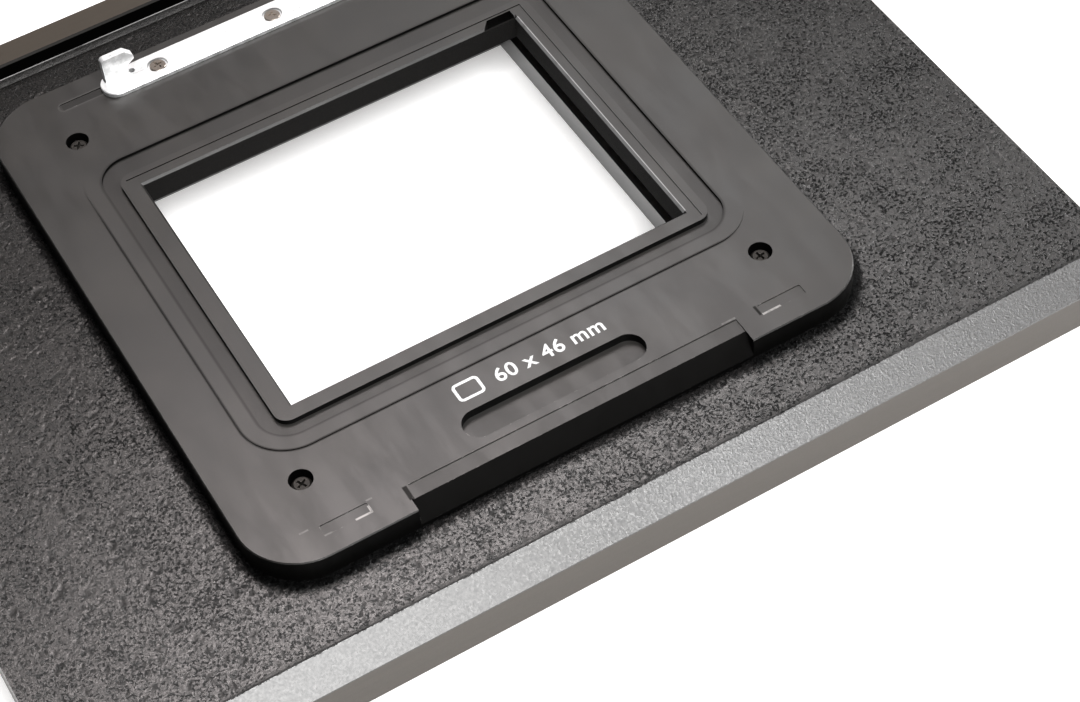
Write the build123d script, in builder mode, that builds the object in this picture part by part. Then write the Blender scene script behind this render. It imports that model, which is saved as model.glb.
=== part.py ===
"""Film-back adapter board for a 4x5 in view camera, as an assembly of separate parts.

Millimetres. +Z points out of the film-back side, +X runs along the long edges. The origin is the
centre of the camera-side face, which is the bottom of the bounding box.
"""
from build123d import *
import os

os.makedirs("parts", exist_ok=True)

# Driving dimensions: the board
BOARD_X = 155.0  # along the long edges
BOARD_Y = 128.2  # near edge to the back of the rail
BODY_Y = 120.6  # width that the camera's slide locks hold
BASE_T = 6.5
COVER_T = 2.6
BEVEL_W = 4.2
COVER_LAND = 0.25  # upright land under the bevel's foot
GROOVE_W = 2.9
RAIL_FLANGE_T = 2.0
FLANGE_REACH = 20.0  # from the rail's outer face to inside the body
THROAT_HALF = 31.2
THROAT_OUTER = 38.0
THROAT_T = 4.0
UPPER_HALF = 33.2

# Driving dimensions: the adapter plate
WINDOW_X = 60.0
WINDOW_Y = 46.0
PLATE_X = 90.8
PLATE_Y = 94.3
PLATE_R = 8.8
PLATE_T = 3.7
LIP_RISE = 0.5  # lip above the plate's face
LAND_RISE = 0.12
CHANNEL_DEPTH = 0.33
SCREW_PITCH_X = 69.3
SCREW_PITCH_Y = 70.4

# Driving dimensions: the latch
BAR_LENGTH = 55.1
BAR_W = 4.9
BAR_T = 0.7
BAR_MID_X = 0.25
LATCH_TRAVEL = 2.5
HOOK_TOP = 17.6
HOOK_PITCH = 48.1
LATCH_SCREW_PITCH = 18.65

# Levels and centres
RAIL_Y1 = BOARD_Y / 2
NEAR_Y = -BOARD_Y / 2
BODY_Y1 = NEAR_Y + BODY_Y
RAIL_Y0 = BODY_Y1 + GROOVE_W
WINDOW_CY = NEAR_Y + BODY_Y / 2
COVER_Z0 = BASE_T
COVER_Z1 = BASE_T + COVER_T
FACE_Z = COVER_Z1 + PLATE_T
LIP_Z = FACE_Z + LIP_RISE
CHANNEL_Z = FACE_Z - CHANNEL_DEPTH
PLATE_CENTRE = (0.3, WINDOW_CY + 0.58)
PLATE_NEAR = PLATE_CENTRE[1] - PLATE_Y / 2
SCREW_CENTRE = (0.3, WINDOW_CY + 0.95)
BAR_Y = WINDOW_CY + 43.1
RUN = 0.05  # running gap of the latch
SEAT = 0.02  # radial gap where a fastener or pin seats

CENTRE = (0, WINDOW_CY)


def frame_sketch(half_outer, half_inner, corner):
    """Square ring about the window's centre, on the active sketch plane."""
    with Locations(CENTRE):
        RectangleRounded(2 * half_outer, 2 * half_outer, corner)
        Rectangle(2 * half_inner, 2 * half_inner, mode=Mode.SUBTRACT)


# Fastener places
ADAPTER_SCREWS = [(SCREW_CENTRE[0] + x, SCREW_CENTRE[1] + y)
                  for x in (-SCREW_PITCH_X / 2, SCREW_PITCH_X / 2)
                  for y in (-SCREW_PITCH_Y / 2, SCREW_PITCH_Y / 2)]
COVER_SCREWS = [(x, WINDOW_CY + y) for x in (-71.0, 71.0) for y in (-52.0, 0.0, 52.0)]
COVER_SCREWS += [(0.0, WINDOW_CY - 52.0), (0.0, WINDOW_CY + 52.0)]
RAIL_SCREWS = [(x, (RAIL_Y0 + RAIL_Y1) / 2) for x in (-66.0, -33.0, 0.0, 33.0, 66.0)]
THROAT_MID = 35.2
THROAT_SCREWS = [(THROAT_MID, WINDOW_CY), (-THROAT_MID, WINDOW_CY),
                 (0.0, WINDOW_CY + THROAT_MID), (0.0, WINDOW_CY - THROAT_MID)]
COVER_DOWELS = [(-60.0, WINDOW_CY - 40.0), (60.0, WINDOW_CY + 40.0)]
PLATE_DOWELS = [(-41.5, WINDOW_CY - 20.0), (41.5, WINDOW_CY + 20.0)]
LATCH_SCREWS = [(BAR_MID_X + i * LATCH_SCREW_PITCH, BAR_Y) for i in (-1, 0, 1)]

# Fastener sizes
M3_R = 1.5
M3_HEAD_R = 2.75
M3_DEPTH_IN_COVER = COVER_T - 1.0
M25_R = 1.25
M25_HEAD_R = 2.2
PLATE_SCREW_R = 1.0
PLATE_HEAD_R = 1.35
PLATE_BORE_R = 1.65  # counterbore round the head
PLATE_HEAD_T = 1.3
PLATE_HEAD_DROP = 0.9  # head below the plate's face
PLATE_SCREW_TURNS = (28.0, 62.0, 12.0, 40.0)  # degrees that the driver crosses are turned
PLATE_SCREW_LENGTH = 5.0
PLATE_SCREW_IN_BASE = 1.2  # depth of the plate screws' holes in the base
RAIL_SCREW_LENGTH = 5.0
THROAT_SCREW_LENGTH = 5.8
TIP_GAP = 0.1  # between a screw's tip and the bottom of its hole
LATCH_SCREW_R = 0.8
LATCH_HEAD_R = 1.2
LATCH_HEAD_T = 0.35
LATCH_SCREW_TURNS = (20.0, 65.0, 5.0)
DOWEL_R = 1.0
COVER_DOWEL_IN_BASE = 3.0
COVER_DOWEL_IN_COVER = COVER_T - 1.0
PLATE_DOWEL_IN_COVER = 2.0
PLATE_DOWEL_IN_PLATE = 1.6

# Felt light trap in the camera-side face
FELT_OUTER = 46.0
FELT_INNER = 43.0
FELT_T = 0.6
CORNER_R = 3.0  # corners of the felt ring and of the throat frame

# --- base frame -----------------------------------------------------------------------------
with BuildPart() as base_frame:
    with BuildSketch():
        with Locations(CENTRE):
            RectangleRounded(BOARD_X, BODY_Y, 1.2)
            Rectangle(2 * UPPER_HALF, 2 * UPPER_HALF, mode=Mode.SUBTRACT)
    extrude(amount=BASE_T)
    with BuildSketch():
        with Locations((0, RAIL_Y1 - FLANGE_REACH / 2)):
            Rectangle(BOARD_X, FLANGE_REACH)
    extrude(amount=RAIL_FLANGE_T)
    with BuildSketch():
        with Locations(CENTRE):
            RectangleRounded(2 * (THROAT_OUTER + SEAT), 2 * (THROAT_OUTER + SEAT), CORNER_R)
    extrude(amount=THROAT_T, mode=Mode.SUBTRACT)
    with BuildSketch():
        frame_sketch(FELT_OUTER, FELT_INNER, CORNER_R)
    extrude(amount=FELT_T, mode=Mode.SUBTRACT)
    chamfer(base_frame.edges().filter_by(Axis.X).group_by(Axis.Y)[0].group_by(Axis.Z)[0], 0.4)
    with Locations(*[Location((x, y, 0), (180, 0, 0)) for x, y in COVER_SCREWS]):
        CounterSinkHole(M3_R + SEAT, M3_HEAD_R + SEAT, BASE_T)
    with Locations(*[Location((x, y, 0), (180, 0, 0)) for x, y in RAIL_SCREWS]):
        CounterSinkHole(M25_R + SEAT, M25_HEAD_R + SEAT, RAIL_FLANGE_T)
    with Locations(*[(x, y, COVER_Z0) for x, y in COVER_DOWELS]):
        Hole(DOWEL_R + SEAT, depth=COVER_DOWEL_IN_BASE + SEAT)
    with Locations(*[(x, y, COVER_Z0) for x, y in ADAPTER_SCREWS]):
        Hole(PLATE_SCREW_R + SEAT, depth=PLATE_SCREW_IN_BASE)
    with Locations(*[(x, y, THROAT_T) for x, y in THROAT_SCREWS]):
        Cylinder(M25_R + SEAT, THROAT_SCREW_LENGTH - THROAT_T + TIP_GAP,
                 align=(Align.CENTER, Align.CENTER, Align.MIN), mode=Mode.SUBTRACT)
base_frame.part.label = "base_frame"
export_step(base_frame.part, "parts/base_frame.step")

# --- rail beyond the locking groove ---------------------------------------------------------
with BuildPart() as locking_rail:
    with BuildSketch(Plane.XY.offset(RAIL_FLANGE_T)):
        with Locations((0, (RAIL_Y0 + RAIL_Y1) / 2)):
            RectangleRounded(BOARD_X, RAIL_Y1 - RAIL_Y0, 0.8)
    extrude(amount=BASE_T - RAIL_FLANGE_T)
    chamfer(locking_rail.edges().filter_by(Axis.X).group_by(Axis.Z)[-1], 0.3)
    with Locations(*[(x, y, RAIL_FLANGE_T) for x, y in RAIL_SCREWS]):
        Cylinder(M25_R + SEAT, RAIL_SCREW_LENGTH - RAIL_FLANGE_T + TIP_GAP,
                 align=(Align.CENTER, Align.CENTER, Align.MIN), mode=Mode.SUBTRACT)
locking_rail.part.label = "locking_rail"
export_step(locking_rail.part, "parts/locking_rail.step")

# --- textured cover plate with its two bevelled long edges ----------------------------------
with BuildPart() as cover_plate:
    with BuildSketch(Plane.YZ.offset(-BOARD_X / 2)):
        with BuildLine():
            Polyline(
                (NEAR_Y, COVER_Z0),
                (NEAR_Y, COVER_Z0 + COVER_LAND),
                (NEAR_Y + BEVEL_W, COVER_Z1),
                (BODY_Y1 - BEVEL_W, COVER_Z1),
                (BODY_Y1, COVER_Z0 + COVER_LAND),
                (BODY_Y1, COVER_Z0),
                close=True,
            )
        make_face()
    extrude(amount=BOARD_X)
    fillet(cover_plate.edges().filter_by(Axis.Z), 0.2)
    with BuildSketch(Plane.XY.offset(COVER_Z0)):
        with Locations(CENTRE):
            Rectangle(2 * UPPER_HALF, 2 * UPPER_HALF)
    extrude(amount=COVER_T, mode=Mode.SUBTRACT)
    with Locations(*[(x, y, COVER_Z0) for x, y in COVER_SCREWS]):
        Cylinder(M3_R + SEAT, M3_DEPTH_IN_COVER + TIP_GAP,
                 align=(Align.CENTER, Align.CENTER, Align.MIN), mode=Mode.SUBTRACT)
    with Locations(*[(x, y, COVER_Z0) for x, y in COVER_DOWELS]):
        Cylinder(DOWEL_R + SEAT, COVER_DOWEL_IN_COVER + TIP_GAP,
                 align=(Align.CENTER, Align.CENTER, Align.MIN), mode=Mode.SUBTRACT)
    with Locations(*[(x, y, COVER_Z1) for x, y in PLATE_DOWELS]):
        Hole(DOWEL_R + SEAT, depth=PLATE_DOWEL_IN_COVER + SEAT)
    with Locations(*[(x, y, COVER_Z1) for x, y in ADAPTER_SCREWS]):
        Hole(PLATE_SCREW_R + SEAT)
cover_plate.part.label = "cover_plate"
export_step(cover_plate.part, "parts/cover_plate.step")

# --- throat frame on the camera side --------------------------------------------------------
with BuildPart() as throat_frame:
    with BuildSketch():
        frame_sketch(THROAT_OUTER, THROAT_HALF, CORNER_R - SEAT)
    extrude(amount=THROAT_T)
    with Locations(*[Location((x, y, 0), (180, 0, 0)) for x, y in THROAT_SCREWS]):
        CounterSinkHole(M25_R + SEAT, M25_HEAD_R + SEAT, THROAT_T)
throat_frame.part.label = "throat_frame"
export_step(throat_frame.part, "parts/throat_frame.step")

# --- felt light trap ------------------------------------------------------------------------
with BuildPart() as light_trap_felt:
    with BuildSketch():
        frame_sketch(FELT_OUTER - SEAT, FELT_INNER + SEAT, CORNER_R - SEAT)
    extrude(amount=FELT_T)
light_trap_felt.part.label = "light_trap_felt"
export_step(light_trap_felt.part, "parts/light_trap_felt.step")


# --- flat-head screws driven from the camera side --------------------------------------------
def flat_head_screws(places, shank_r, head_r, length):
    """Flat-head screws whose heads are flush with the camera-side face, at each place."""
    head_t = head_r - shank_r
    with BuildPart() as screws:
        for x, y in places:
            with BuildSketch(Plane.XZ.offset(-y)):
                with BuildLine():
                    Polyline((x, 0), (x + head_r, 0), (x + shank_r, head_t), (x + shank_r, length),
                             (x, length), close=True)
                make_face()
            revolve(axis=Axis((x, y, 0), (0, 0, 1)))
        with BuildSketch():
            with Locations(*places):
                Rectangle(1.1 * head_r, 0.26 * head_r)
                Rectangle(0.26 * head_r, 1.1 * head_r)
        extrude(amount=0.45 * head_r, mode=Mode.SUBTRACT)
    return screws.part


cover_screws = flat_head_screws(COVER_SCREWS, M3_R, M3_HEAD_R, COVER_Z0 + M3_DEPTH_IN_COVER)
cover_screws.label = "cover_screws"
export_step(cover_screws, "parts/cover_screws.step")

rail_screws = flat_head_screws(RAIL_SCREWS, M25_R, M25_HEAD_R, RAIL_SCREW_LENGTH)
rail_screws.label = "rail_screws"
export_step(rail_screws, "parts/rail_screws.step")

throat_screws = flat_head_screws(THROAT_SCREWS, M25_R, M25_HEAD_R, THROAT_SCREW_LENGTH)
throat_screws.label = "throat_screws"
export_step(throat_screws, "parts/throat_screws.step")


# --- dowel pins -----------------------------------------------------------------------------
def dowels(places, z0, z1):
    """Plain dowel pins with chamfered ends, standing from z0 to z1 at each place."""
    with BuildPart() as pins:
        with BuildSketch(Plane.XY.offset(z0)):
            with Locations(*places):
                Circle(DOWEL_R)
        extrude(amount=z1 - z0)
        chamfer(pins.edges().filter_by(GeomType.CIRCLE), 0.15)
    return pins.part


cover_dowels = dowels(COVER_DOWELS, COVER_Z0 - COVER_DOWEL_IN_BASE, COVER_Z0 + COVER_DOWEL_IN_COVER)
cover_dowels.label = "cover_dowels"
export_step(cover_dowels, "parts/cover_dowels.step")

plate_dowels = dowels(PLATE_DOWELS, COVER_Z1 - PLATE_DOWEL_IN_COVER,
                      COVER_Z1 + PLATE_DOWEL_IN_PLATE)
plate_dowels.label = "plate_dowels"
export_step(plate_dowels, "parts/plate_dowels.step")

# --- foam gasket under the adapter plate ----------------------------------------------------
GASKET_OUTER = 39.2
GASKET_INNER = 37.4
GASKET_T = 0.5
GASKET_R = 1.5
with BuildPart() as plate_gasket:
    with BuildSketch(Plane.XY.offset(COVER_Z1)):
        frame_sketch(GASKET_OUTER, GASKET_INNER, GASKET_R)
    extrude(amount=GASKET_T)
plate_gasket.part.label = "plate_gasket"
export_step(plate_gasket.part, "parts/plate_gasket.step")

# --- adapter plate --------------------------------------------------------------------------
LAND_X, LAND_Y, LAND_R = 75.85, 62.0, 7.0
CHANNEL_X, CHANNEL_Y, CHANNEL_R = 70.55, 57.15, 4.5
LIP_X, LIP_Y, LIP_R = 65.9, 51.4, 2.0
LIP_STEP_X, LIP_STEP_Y, LIP_STEP = 63.6, 49.6, 0.14
LAND_CENTRE = (0.37, WINDOW_CY + 0.97)
CHANNEL_CENTRE = (0.22, WINDOW_CY + 0.97)
LIP_CENTRE = (0.15, WINDOW_CY + 0.17)
WINDOW_FAR = WINDOW_CY + WINDOW_Y / 2
INDEX_X0 = 24.8
INDEX_SLOPE = 1.3  # run of the notch's slanted end
INDEX_DEPTH = 1.5
LINER_T = 0.3
LINER_TOP = LIP_Z - 0.6

NOTCH_Y = WINDOW_CY - 44.6  # recessed part of the near edge
NOTCH_X0, NOTCH_X1 = -24.0, 25.8  # its ends
NOTCH_FOOT_Z = COVER_Z1 + 0.6  # where its slanted wall meets the near edge
LEDGE_Y = WINDOW_CY - 42.3
LEDGE_X0 = -23.3  # left end of the ledge's straight edge
LEDGE_DROP = 0.16
POCKET_X, POCKET_Y = 0.3, WINDOW_CY - 38.75
POCKET_L, POCKET_W, POCKET_DEPTH = 27.1, 4.65, 1.4
LUG_XS, LUG_Y = (-32.35, 32.65), WINDOW_CY - 42.75
LUG_L, LUG_W, LUG_DEPTH = 6.7, 1.7, 0.12

SLOT_W = 1.8  # slot that the latch screws run in, under the bar
SLOT_X0 = BAR_MID_X - LATCH_SCREW_PITCH - LATCH_TRAVEL - LATCH_SCREW_R - RUN
SLOT_X1 = BAR_MID_X + LATCH_SCREW_PITCH + LATCH_SCREW_R + RUN
GUIDE_X0, GUIDE_X1 = -34.0, -26.0  # shallow guide groove that runs out under the bar's end
GUIDE_Y = WINDOW_CY + 43.5
GUIDE_W = 1.4
GUIDE_DEPTH = 0.15
TUNNEL_X0 = -34.0
TUNNEL_W = 3.6
TUNNEL_H = 1.8
STRIP_LENGTH = 43.9
STRIP_X0 = BAR_MID_X - STRIP_LENGTH / 2
STRIP_X1 = BAR_MID_X + STRIP_LENGTH / 2

with BuildPart() as adapter_plate:
    with BuildSketch(Plane.XY.offset(COVER_Z1)):
        with Locations(PLATE_CENTRE):
            RectangleRounded(PLATE_X, PLATE_Y, PLATE_R)
    extrude(amount=PLATE_T)
    chamfer(adapter_plate.edges().group_by(Axis.Z)[-1], 0.15)
    with BuildSketch(Plane.XY.offset(FACE_Z)):
        with Locations(LAND_CENTRE):
            RectangleRounded(LAND_X, LAND_Y, LAND_R)
    extrude(amount=LAND_RISE)
    with BuildSketch(Plane.XY.offset(CHANNEL_Z)):
        with Locations(CHANNEL_CENTRE):
            RectangleRounded(CHANNEL_X, CHANNEL_Y, CHANNEL_R)
    extrude(amount=CHANNEL_DEPTH + LAND_RISE, mode=Mode.SUBTRACT)
    with BuildSketch(Plane.XY.offset(CHANNEL_Z)):
        with Locations(LIP_CENTRE):
            RectangleRounded(LIP_X, LIP_Y, LIP_R)
    extrude(amount=LIP_Z - CHANNEL_Z)
    with BuildSketch(Plane.XY.offset(LIP_Z)):
        with Locations(CENTRE):
            Rectangle(LIP_STEP_X, LIP_STEP_Y)
    extrude(amount=-LIP_STEP, mode=Mode.SUBTRACT)
    # window, with a bevelled inner arris and an index notch in its far right corner
    with BuildSketch(Plane.XY.offset(COVER_Z1)):
        with Locations(CENTRE):
            Rectangle(WINDOW_X, WINDOW_Y)
    extrude(amount=LIP_Z - COVER_Z1, mode=Mode.SUBTRACT)
    arris = adapter_plate.edges().filter_by_position(Axis.Z, LIP_Z - LIP_STEP, LIP_Z - LIP_STEP)
    arris = arris.filter_by_position(Axis.X, -WINDOW_X / 2, WINDOW_X / 2)
    arris = arris.filter_by_position(Axis.Y, WINDOW_CY - WINDOW_Y / 2, WINDOW_CY + WINDOW_Y / 2)
    chamfer(arris, 0.3)
    with BuildSketch(Plane.XY.offset(COVER_Z1)):
        with BuildLine():
            Polyline((INDEX_X0, WINDOW_FAR - 0.1), (INDEX_X0 + INDEX_SLOPE, WINDOW_FAR + INDEX_DEPTH),
                     (WINDOW_X / 2, WINDOW_FAR + INDEX_DEPTH), (WINDOW_X / 2, WINDOW_FAR - 0.1),
                     close=True)
        make_face()
    extrude(amount=LIP_Z - COVER_Z1, mode=Mode.SUBTRACT)
    # seat of the flocked liner
    with BuildSketch(Plane.XY.offset(COVER_Z1)):
        with Locations(CENTRE):
            Rectangle(WINDOW_X + 2 * LINER_T, WINDOW_Y + 2 * LINER_T)
    extrude(amount=LINER_TOP - COVER_Z1, mode=Mode.SUBTRACT)
    # recessed screws and dowels
    with Locations(*[(x, y, FACE_Z) for x, y in ADAPTER_SCREWS]):
        CounterBoreHole(PLATE_SCREW_R + 0.1, PLATE_BORE_R, PLATE_HEAD_DROP + PLATE_HEAD_T)
    with Locations(*[(x, y, COVER_Z1) for x, y in PLATE_DOWELS]):
        Cylinder(DOWEL_R + SEAT, PLATE_DOWEL_IN_PLATE + SEAT,
                 align=(Align.CENTER, Align.CENTER, Align.MIN), mode=Mode.SUBTRACT)
    # gasket groove
    with BuildSketch(Plane.XY.offset(COVER_Z1)):
        frame_sketch(GASKET_OUTER + SEAT, GASKET_INNER - SEAT, GASKET_R)
    extrude(amount=GASKET_T, mode=Mode.SUBTRACT)
    # near edge: notch with a slanted wall and a ledge above it, finger pocket and two lug pockets
    with BuildSketch(Plane.YZ.offset(NOTCH_X0)):
        with BuildLine():
            Polyline((NOTCH_Y, FACE_Z + 1), (NOTCH_Y, FACE_Z - LEDGE_DROP), (PLATE_NEAR, NOTCH_FOOT_Z),
                     (PLATE_NEAR - 1, NOTCH_FOOT_Z), (PLATE_NEAR - 1, FACE_Z + 1), close=True)
        make_face()
    extrude(amount=NOTCH_X1 - NOTCH_X0, mode=Mode.SUBTRACT)
    with BuildSketch(Plane.XY.offset(FACE_Z)):
        with BuildLine():
            Polyline((NOTCH_X0, NOTCH_Y - 1), (LEDGE_X0, LEDGE_Y), (NOTCH_X1, LEDGE_Y),
                     (NOTCH_X1, NOTCH_Y - 1), close=True)
        make_face()
    extrude(amount=-LEDGE_DROP, mode=Mode.SUBTRACT)
    with BuildSketch(Plane.XY.offset(FACE_Z)):
        with Locations((POCKET_X, POCKET_Y)):
            SlotOverall(POCKET_L, POCKET_W)
    extrude(amount=-POCKET_DEPTH, mode=Mode.SUBTRACT)
    with BuildSketch(Plane.XY.offset(FACE_Z)):
        with Locations(*[(x, LUG_Y) for x in LUG_XS]):
            RectangleRounded(LUG_L, LUG_W, 0.25)
    extrude(amount=-LUG_DEPTH, mode=Mode.SUBTRACT)
    # latch: guide groove, screw slot, and the strip's tunnel underneath
    with BuildSketch(Plane.XY.offset(FACE_Z)):
        with Locations(((GUIDE_X0 + GUIDE_X1) / 2, GUIDE_Y)):
            SlotOverall(GUIDE_X1 - GUIDE_X0, GUIDE_W)
    extrude(amount=-GUIDE_DEPTH, mode=Mode.SUBTRACT)
    with BuildSketch(Plane.XY.offset(COVER_Z1)):
        with Locations(((SLOT_X0 + SLOT_X1) / 2, BAR_Y)):
            SlotOverall(SLOT_X1 - SLOT_X0, SLOT_W)
    extrude(amount=PLATE_T, mode=Mode.SUBTRACT)
    with BuildSketch(Plane.XY.offset(COVER_Z1)):
        with Locations(((TUNNEL_X0 + STRIP_X1 + 0.5) / 2, BAR_Y)):
            Rectangle(STRIP_X1 + 0.5 - TUNNEL_X0, TUNNEL_W)
    extrude(amount=TUNNEL_H, mode=Mode.SUBTRACT)
adapter_plate.part.label = "adapter_plate"
export_step(adapter_plate.part, "parts/adapter_plate.step")

# --- flocked liner of the window ------------------------------------------------------------
with BuildPart() as window_liner:
    with BuildSketch(Plane.XY.offset(COVER_Z1)):
        with Locations(CENTRE):
            Rectangle(WINDOW_X + 2 * LINER_T, WINDOW_Y + 2 * LINER_T)
            Rectangle(WINDOW_X, WINDOW_Y, mode=Mode.SUBTRACT)
    extrude(amount=LINER_TOP - COVER_Z1)
window_liner.part.label = "window_liner"
export_step(window_liner.part, "parts/window_liner.step")


# --- recessed cross-head screws of the plate and of the latch bar -----------------------------
def pan_head_screws(places, turns, shank_r, head_r, head_t, head_top, length):
    """Pan-head screws with a driver cross, heads up, at each place, each turned by its own angle."""
    with BuildPart() as screws:
        with BuildSketch(Plane.XY.offset(head_top - head_t)):
            with Locations(*places):
                Circle(head_r)
        extrude(amount=head_t)
        chamfer(screws.edges().group_by(Axis.Z)[-1], 0.25 * head_t)
        with BuildSketch(Plane.XY.offset(head_top - head_t)):
            with Locations(*places):
                Circle(shank_r)
        extrude(amount=-length)
        with BuildSketch(Plane.XY.offset(head_top)):
            with Locations(*[Location((x, y, 0), turn) for (x, y), turn in zip(places, turns)]):
                Rectangle(1.15 * head_r, 0.28 * head_r)
                Rectangle(0.28 * head_r, 1.15 * head_r)
        extrude(amount=-0.6 * head_t, mode=Mode.SUBTRACT)
    return screws.part


adapter_screws = pan_head_screws(ADAPTER_SCREWS, PLATE_SCREW_TURNS, PLATE_SCREW_R, PLATE_HEAD_R,
                                 PLATE_HEAD_T, FACE_Z - PLATE_HEAD_DROP, PLATE_SCREW_LENGTH)
adapter_screws.label = "adapter_screws"
export_step(adapter_screws, "parts/adapter_screws.step")

# --- latch bar with its two hooks -----------------------------------------------------------
BAR_Z0 = FACE_Z + RUN
BAR_Z1 = BAR_Z0 + BAR_T
HEAD_SEAT_Z = BAR_Z1 - 0.45
SINK_L, SINK_W = 3.1, 2.6  # obround sinks of the latch screws
HOOK_T = 1.1
HOOK_W = 3.65
HOOK_NOSE = 1.2
NOSE_TOP = HOOK_TOP - 1.15  # the nose's blunt end lies between these two levels
NOSE_FOOT = HOOK_TOP - 1.85
NECK_Z = HOOK_TOP - 2.6  # where the nose's underside meets the neck
RELIEF_R = 0.45  # bend-relief hole beside the hook
RELIEF_SLIT = 0.2
HOOK_Y0 = WINDOW_CY + 43.9  # front face of the hooks
LEFT_HOOK_X = -26.2
BAR_FAR = BAR_Y + BAR_W / 2
HOOK_LEFTS = [LEFT_HOOK_X, LEFT_HOOK_X + HOOK_PITCH]

with BuildPart() as latch_bar:
    with BuildSketch(Plane.XY.offset(BAR_Z0)):
        with Locations((BAR_MID_X, BAR_Y)):
            SlotOverall(BAR_LENGTH, BAR_W)
        for x in HOOK_LEFTS:
            with Locations((x + (HOOK_W - RELIEF_SLIT) / 2, BAR_FAR)):
                Rectangle(HOOK_W + RELIEF_SLIT, 2 * (BAR_FAR - HOOK_Y0 - HOOK_T), mode=Mode.SUBTRACT)
            with Locations((x - RELIEF_SLIT / 2, BAR_FAR)):
                Rectangle(RELIEF_SLIT, 2 * (BAR_FAR - HOOK_Y0), mode=Mode.SUBTRACT)
            with Locations((x + HOOK_W + RELIEF_R + 0.05, HOOK_Y0 + 0.2)):
                Circle(RELIEF_R, mode=Mode.SUBTRACT)
    extrude(amount=BAR_T)
    chamfer(latch_bar.edges().filter_by(Axis.X).group_by(Axis.Z)[-1].group_by(Axis.Y)[0], 0.12)
    with BuildSketch(Plane.XY.offset(BAR_Z1)):
        with Locations(*LATCH_SCREWS):
            SlotOverall(SINK_L, SINK_W)
    extrude(amount=HEAD_SEAT_Z - BAR_Z1, mode=Mode.SUBTRACT)
    with BuildSketch(Plane.XY.offset(BAR_Z0)):
        with Locations(*LATCH_SCREWS):
            Circle(LATCH_SCREW_R + RUN)
    extrude(amount=BAR_T, mode=Mode.SUBTRACT)
    for x in HOOK_LEFTS:
        neck = x + HOOK_W
        with BuildSketch(Plane.XZ.offset(-HOOK_Y0 - HOOK_T)) as hook_outline:
            with BuildLine():
                Polyline(
                    (x, BAR_Z0),
                    (x, HOOK_TOP),
                    (neck, HOOK_TOP),
                    (neck + HOOK_NOSE, NOSE_TOP),
                    (neck + HOOK_NOSE, NOSE_FOOT),
                    (neck, NECK_Z),
                    (neck, BAR_Z0),
                    close=True,
                )
            make_face()
            crown = hook_outline.vertices().group_by(Axis.Y)[-1].sort_by(Axis.X)
            fillet(crown[0], 0.6)
            fillet(crown[-1], 0.35)
            fillet(hook_outline.vertices().sort_by(Axis.X)[-2:], 0.22)
        extrude(amount=HOOK_T)
latch_bar.part.label = "latch_bar"
export_step(latch_bar.part, "parts/latch_bar.step")

LATCH_SCREW_LENGTH = HEAD_SEAT_Z - COVER_Z1 - 0.5
latch_screws = pan_head_screws(LATCH_SCREWS, LATCH_SCREW_TURNS, LATCH_SCREW_R, LATCH_HEAD_R,
                               LATCH_HEAD_T, HEAD_SEAT_Z + LATCH_HEAD_T, LATCH_SCREW_LENGTH)
latch_screws.label = "latch_screws"
export_step(latch_screws, "parts/latch_screws.step")

# --- slide strip that the latch screws hold, in the tunnel under the plate --------------------
STRIP_Z0 = COVER_Z1 + 0.4
STRIP_H = 1.3
STRIP_W = 3.4
GUIDE_PIN_R = 0.3
GUIDE_PIN_LENGTH = 7.0
PIN_SOCKET = 1.5  # the pin's seat in the strip's end
SPRING_Z = STRIP_Z0 + STRIP_H / 2

with BuildPart() as slide_strip:
    with BuildSketch(Plane.XY.offset(STRIP_Z0)):
        with Locations((BAR_MID_X, BAR_Y)):
            Rectangle(STRIP_LENGTH, STRIP_W)
        with Locations(*LATCH_SCREWS):
            Circle(LATCH_SCREW_R + SEAT, mode=Mode.SUBTRACT)
    extrude(amount=STRIP_H)
    with BuildSketch(Plane.YZ.offset(STRIP_X0)):
        with Locations((BAR_Y, SPRING_Z)):
            Circle(GUIDE_PIN_R + SEAT)
    extrude(amount=PIN_SOCKET, mode=Mode.SUBTRACT)
slide_strip.part.label = "slide_strip"
export_step(slide_strip.part, "parts/slide_strip.step")

# --- return spring and the pin that guides it -------------------------------------------------
with BuildPart() as spring_guide_pin:
    with BuildSketch(Plane.YZ.offset(STRIP_X0 + PIN_SOCKET)):
        with Locations((BAR_Y, SPRING_Z)):
            Circle(GUIDE_PIN_R)
    extrude(amount=-GUIDE_PIN_LENGTH - PIN_SOCKET)
    chamfer(spring_guide_pin.edges().filter_by(GeomType.CIRCLE), 0.08)
spring_guide_pin.part.label = "spring_guide_pin"
export_step(spring_guide_pin.part, "parts/spring_guide_pin.step")

SPRING_R = 0.56
WIRE_R = 0.12
SPRING_TURNS = 13
SPRING_X0 = TUNNEL_X0 + WIRE_R + SEAT
SPRING_LENGTH = STRIP_X0 - WIRE_R - SEAT - SPRING_X0

with BuildPart() as return_spring:
    with BuildLine():
        coil = Helix(SPRING_LENGTH / SPRING_TURNS, SPRING_LENGTH, SPRING_R,
                     center=(SPRING_X0, BAR_Y, SPRING_Z), direction=(1, 0, 0))
    with BuildSketch(Plane(origin=coil @ 0, z_dir=coil % 0)):
        Circle(WIRE_R)
    sweep(is_frenet=True)
return_spring.part.label = "return_spring"
export_step(return_spring.part, "parts/return_spring.step")
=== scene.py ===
"""Looks of the film-back adapter board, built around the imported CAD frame. Metres."""

import math

import bpy
import numpy as np
from mathutils import Matrix, Vector


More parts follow.
